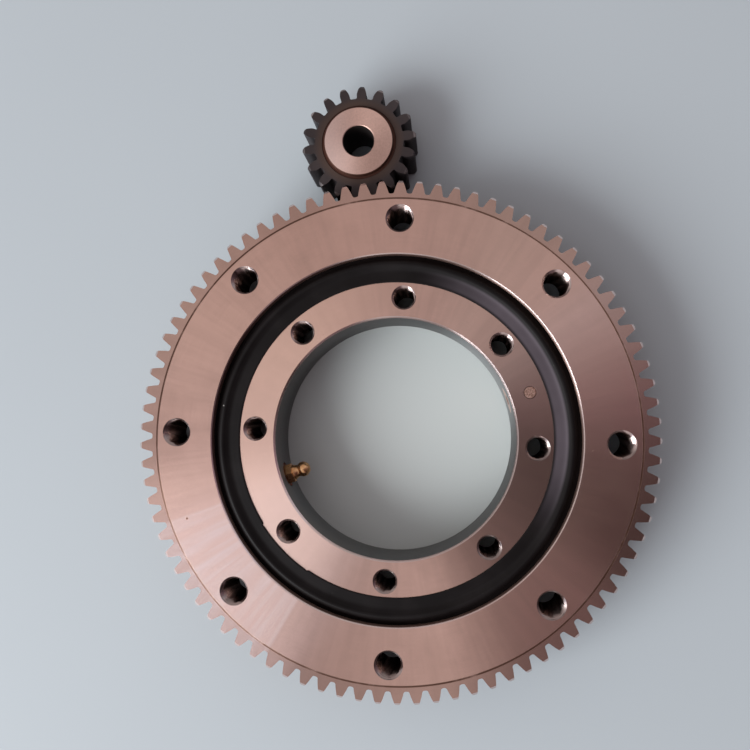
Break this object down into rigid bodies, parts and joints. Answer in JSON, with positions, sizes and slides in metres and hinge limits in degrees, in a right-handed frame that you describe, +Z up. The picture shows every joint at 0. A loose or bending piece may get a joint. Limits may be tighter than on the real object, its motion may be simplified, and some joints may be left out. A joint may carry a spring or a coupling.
{
  "type": "slewing ring bearing",
  "caption": "Single-row ball slewing ring with external gear teeth, tapped holes in both rings, rubber seals, a grease nipple in the bore, and its mating spur pinion.",
  "frame": {"origin": "centre of the whole object's footprint, on the surface it lies on", "axes": "+Z up along both turning axes, +Y from the ring towards the pinion"},
  "size_m": [0.2174, 0.2621, 0.032],
  "materials": {
    "ring_steel": "fine ground",
    "plug_steel": "fine ground",
    "pin_steel": "turned, oiled",
    "ball_steel": "polished",
    "spring_steel": "drawn wire",
    "seal_rubber": "smooth satin",
    "cage_nylon": "moulded",
    "nipple_brass": "turned",
    "black_steel": "black oxide, with a ground hub face"
  },
  "bodies": {
    "inner_ring": {"inner_ring": "ring_steel", "loading_plug": "plug_steel", "plug_taper_pin": "pin_steel", "grease_nipple": "nipple_brass", "nipple_spring": "spring_steel"},
    "outer_ring": {"outer_gear_ring": "ring_steel", "upper_seal": "seal_rubber", "lower_seal": "seal_rubber"},
    "cage": {"ball_cage": "cage_nylon"},
    "pinion": {"pinion": "black_steel"},
    "nipple_ball": {"nipple_ball": "ball_steel"},
    "ball_01": {"ball_01": "ball_steel"},
    "ball_02": {"ball_02": "ball_steel"},
    "ball_03": {"ball_03": "ball_steel"},
    "ball_04": {"ball_04": "ball_steel"},
    "ball_05": {"ball_05": "ball_steel"},
    "ball_06": {"ball_06": "ball_steel"},
    "ball_07": {"ball_07": "ball_steel"},
    "ball_08": {"ball_08": "ball_steel"},
    "ball_09": {"ball_09": "ball_steel"},
    "ball_10": {"ball_10": "ball_steel"},
    "ball_11": {"ball_11": "ball_steel"},
    "ball_12": {"ball_12": "ball_steel"},
    "ball_13": {"ball_13": "ball_steel"},
    "ball_14": {"ball_14": "ball_steel"},
    "ball_15": {"ball_15": "ball_steel"},
    "ball_16": {"ball_16": "ball_steel"},
    "ball_17": {"ball_17": "ball_steel"},
    "ball_18": {"ball_18": "ball_steel"},
    "ball_19": {"ball_19": "ball_steel"},
    "ball_20": {"ball_20": "ball_steel"},
    "ball_21": {"ball_21": "ball_steel"},
    "ball_22": {"ball_22": "ball_steel"},
    "ball_23": {"ball_23": "ball_steel"},
    "ball_24": {"ball_24": "ball_steel"},
    "ball_25": {"ball_25": "ball_steel"},
    "ball_26": {"ball_26": "ball_steel"},
    "ball_27": {"ball_27": "ball_steel"},
    "ball_28": {"ball_28": "ball_steel"},
    "ball_29": {"ball_29": "ball_steel"},
    "ball_30": {"ball_30": "ball_steel"}
  },
  "joints": [
    {"name": "outer_ring_turn", "type": "hinge", "parent": "inner_ring", "child": "outer_ring", "pos_m": [0, -0.02239, 0.016], "axis": [0, 0, 1], "continuous": true},
    {"name": "cage_turn", "type": "hinge", "parent": "inner_ring", "child": "cage", "pos_m": [0, -0.02239, 0.016], "axis": [0, 0, 1], "continuous": true},
    {"name": "pinion_turn", "type": "hinge", "parent": "inner_ring", "child": "pinion", "pos_m": [0, 0.10636, 0.0125], "axis": [0, 0, 1], "continuous": true},
    {"name": "ball_01_roll", "type": "hinge", "parent": "cage", "child": "ball_01", "pos_m": [0.07165, -0.02239, 0.016], "axis": [0, 0, 1], "continuous": true},
    {"name": "ball_02_roll", "type": "hinge", "parent": "cage", "child": "ball_02", "pos_m": [0.07008, -0.00749, 0.016], "axis": [0, 0, 1], "continuous": true},
    {"name": "ball_03_roll", "type": "hinge", "parent": "cage", "child": "ball_03", "pos_m": [0.06546, 0.00675, 0.016], "axis": [0, 0, 1], "continuous": true},
    {"name": "ball_04_roll", "type": "hinge", "parent": "cage", "child": "ball_04", "pos_m": [0.05797, 0.01972, 0.016], "axis": [0, 0, 1], "continuous": true},
    {"name": "ball_05_roll", "type": "hinge", "parent": "cage", "child": "ball_05", "pos_m": [0.04794, 0.03086, 0.016], "axis": [0, 0, 1], "continuous": true},
    {"name": "ball_06_roll", "type": "hinge", "parent": "cage", "child": "ball_06", "pos_m": [0.03583, 0.03966, 0.016], "axis": [0, 0, 1], "continuous": true},
    {"name": "ball_07_roll", "type": "hinge", "parent": "cage", "child": "ball_07", "pos_m": [0.02214, 0.04575, 0.016], "axis": [0, 0, 1], "continuous": true},
    {"name": "ball_08_roll", "type": "hinge", "parent": "cage", "child": "ball_08", "pos_m": [0.00749, 0.04887, 0.016], "axis": [0, 0, 1], "continuous": true},
    {"name": "ball_09_roll", "type": "hinge", "parent": "cage", "child": "ball_09", "pos_m": [-0.00749, 0.04887, 0.016], "axis": [0, 0, 1], "continuous": true},
    {"name": "ball_10_roll", "type": "hinge", "parent": "cage", "child": "ball_10", "pos_m": [-0.02214, 0.04575, 0.016], "axis": [0, 0, 1], "continuous": true},
    {"name": "ball_11_roll", "type": "hinge", "parent": "cage", "child": "ball_11", "pos_m": [-0.03583, 0.03966, 0.016], "axis": [0, 0, 1], "continuous": true},
    {"name": "ball_12_roll", "type": "hinge", "parent": "cage", "child": "ball_12", "pos_m": [-0.04794, 0.03086, 0.016], "axis": [0, 0, 1], "continuous": true},
    {"name": "ball_13_roll", "type": "hinge", "parent": "cage", "child": "ball_13", "pos_m": [-0.05797, 0.01972, 0.016], "axis": [0, 0, 1], "continuous": true},
    {"name": "ball_14_roll", "type": "hinge", "parent": "cage", "child": "ball_14", "pos_m": [-0.06546, 0.00675, 0.016], "axis": [0, 0, 1], "continuous": true},
    {"name": "ball_15_roll", "type": "hinge", "parent": "cage", "child": "ball_15", "pos_m": [-0.07008, -0.00749, 0.016], "axis": [0, 0, 1], "continuous": true},
    {"name": "ball_16_roll", "type": "hinge", "parent": "cage", "child": "ball_16", "pos_m": [-0.07165, -0.02239, 0.016], "axis": [0, 0, 1], "continuous": true},
    {"name": "ball_17_roll", "type": "hinge", "parent": "cage", "child": "ball_17", "pos_m": [-0.07008, -0.03729, 0.016], "axis": [0, 0, 1], "continuous": true},
    {"name": "ball_18_roll", "type": "hinge", "parent": "cage", "child": "ball_18", "pos_m": [-0.06546, -0.05153, 0.016], "axis": [0, 0, 1], "continuous": true},
    {"name": "ball_19_roll", "type": "hinge", "parent": "cage", "child": "ball_19", "pos_m": [-0.05797, -0.06451, 0.016], "axis": [0, 0, 1], "continuous": true},
    {"name": "ball_20_roll", "type": "hinge", "parent": "cage", "child": "ball_20", "pos_m": [-0.04794, -0.07564, 0.016], "axis": [0, 0, 1], "continuous": true},
    {"name": "ball_21_roll", "type": "hinge", "parent": "cage", "child": "ball_21", "pos_m": [-0.03583, -0.08444, 0.016], "axis": [0, 0, 1], "continuous": true},
    {"name": "ball_22_roll", "type": "hinge", "parent": "cage", "child": "ball_22", "pos_m": [-0.02214, -0.09054, 0.016], "axis": [0, 0, 1], "continuous": true},
    {"name": "ball_23_roll", "type": "hinge", "parent": "cage", "child": "ball_23", "pos_m": [-0.00749, -0.09365, 0.016], "axis": [0, 0, 1], "continuous": true},
    {"name": "ball_24_roll", "type": "hinge", "parent": "cage", "child": "ball_24", "pos_m": [0.00749, -0.09365, 0.016], "axis": [0, 0, 1], "continuous": true},
    {"name": "ball_25_roll", "type": "hinge", "parent": "cage", "child": "ball_25", "pos_m": [0.02214, -0.09054, 0.016], "axis": [0, 0, 1], "continuous": true},
    {"name": "ball_26_roll", "type": "hinge", "parent": "cage", "child": "ball_26", "pos_m": [0.03583, -0.08444, 0.016], "axis": [0, 0, 1], "continuous": true},
    {"name": "ball_27_roll", "type": "hinge", "parent": "cage", "child": "ball_27", "pos_m": [0.04794, -0.07564, 0.016], "axis": [0, 0, 1], "continuous": true},
    {"name": "ball_28_roll", "type": "hinge", "parent": "cage", "child": "ball_28", "pos_m": [0.05797, -0.06451, 0.016], "axis": [0, 0, 1], "continuous": true},
    {"name": "ball_29_roll", "type": "hinge", "parent": "cage", "child": "ball_29", "pos_m": [0.06546, -0.05153, 0.016], "axis": [0, 0, 1], "continuous": true},
    {"name": "ball_30_roll", "type": "hinge", "parent": "cage", "child": "ball_30", "pos_m": [0.07008, -0.03729, 0.016], "axis": [0, 0, 1], "continuous": true},
    {"name": "nipple_ball_press", "type": "slide", "parent": "inner_ring", "child": "nipple_ball", "axis": [-0.9792, -0.2028, 0], "range_m": [0, 0.0008], "stiffness_N_per_m": 300, "springref_m": -0.0005, "deforming": ["nipple_spring"]}
  ],
  "couplings": [
    {"joint": "cage_turn", "follows": "outer_ring_turn", "ratio": 0.5247},
    {"joint": "pinion_turn", "follows": "outer_ring_turn", "ratio": -4.7222},
    {"joint": "ball_01_roll", "follows": "outer_ring_turn", "ratio": 10.109},
    {"joint": "ball_02_roll", "follows": "outer_ring_turn", "ratio": 10.109},
    {"joint": "ball_03_roll", "follows": "outer_ring_turn", "ratio": 10.109},
    {"joint": "ball_04_roll", "follows": "outer_ring_turn", "ratio": 10.109},
    {"joint": "ball_05_roll", "follows": "outer_ring_turn", "ratio": 10.109},
    {"joint": "ball_06_roll", "follows": "outer_ring_turn", "ratio": 10.109},
    {"joint": "ball_07_roll", "follows": "outer_ring_turn", "ratio": 10.109},
    {"joint": "ball_08_roll", "follows": "outer_ring_turn", "ratio": 10.109},
    {"joint": "ball_09_roll", "follows": "outer_ring_turn", "ratio": 10.109},
    {"joint": "ball_10_roll", "follows": "outer_ring_turn", "ratio": 10.109},
    {"joint": "ball_11_roll", "follows": "outer_ring_turn", "ratio": 10.109},
    {"joint": "ball_12_roll", "follows": "outer_ring_turn", "ratio": 10.109},
    {"joint": "ball_13_roll", "follows": "outer_ring_turn", "ratio": 10.109},
    {"joint": "ball_14_roll", "follows": "outer_ring_turn", "ratio": 10.109},
    {"joint": "ball_15_roll", "follows": "outer_ring_turn", "ratio": 10.109},
    {"joint": "ball_16_roll", "follows": "outer_ring_turn", "ratio": 10.109},
    {"joint": "ball_17_roll", "follows": "outer_ring_turn", "ratio": 10.109},
    {"joint": "ball_18_roll", "follows": "outer_ring_turn", "ratio": 10.109},
    {"joint": "ball_19_roll", "follows": "outer_ring_turn", "ratio": 10.109},
    {"joint": "ball_20_roll", "follows": "outer_ring_turn", "ratio": 10.109},
    {"joint": "ball_21_roll", "follows": "outer_ring_turn", "ratio": 10.109},
    {"joint": "ball_22_roll", "follows": "outer_ring_turn", "ratio": 10.109},
    {"joint": "ball_23_roll", "follows": "outer_ring_turn", "ratio": 10.109},
    {"joint": "ball_24_roll", "follows": "outer_ring_turn", "ratio": 10.109},
    {"joint": "ball_25_roll", "follows": "outer_ring_turn", "ratio": 10.109},
    {"joint": "ball_26_roll", "follows": "outer_ring_turn", "ratio": 10.109},
    {"joint": "ball_27_roll", "follows": "outer_ring_turn", "ratio": 10.109},
    {"joint": "ball_28_roll", "follows": "outer_ring_turn", "ratio": 10.109},
    {"joint": "ball_29_roll", "follows": "outer_ring_turn", "ratio": 10.109},
    {"joint": "ball_30_roll", "follows": "outer_ring_turn", "ratio": 10.109}
  ]
}
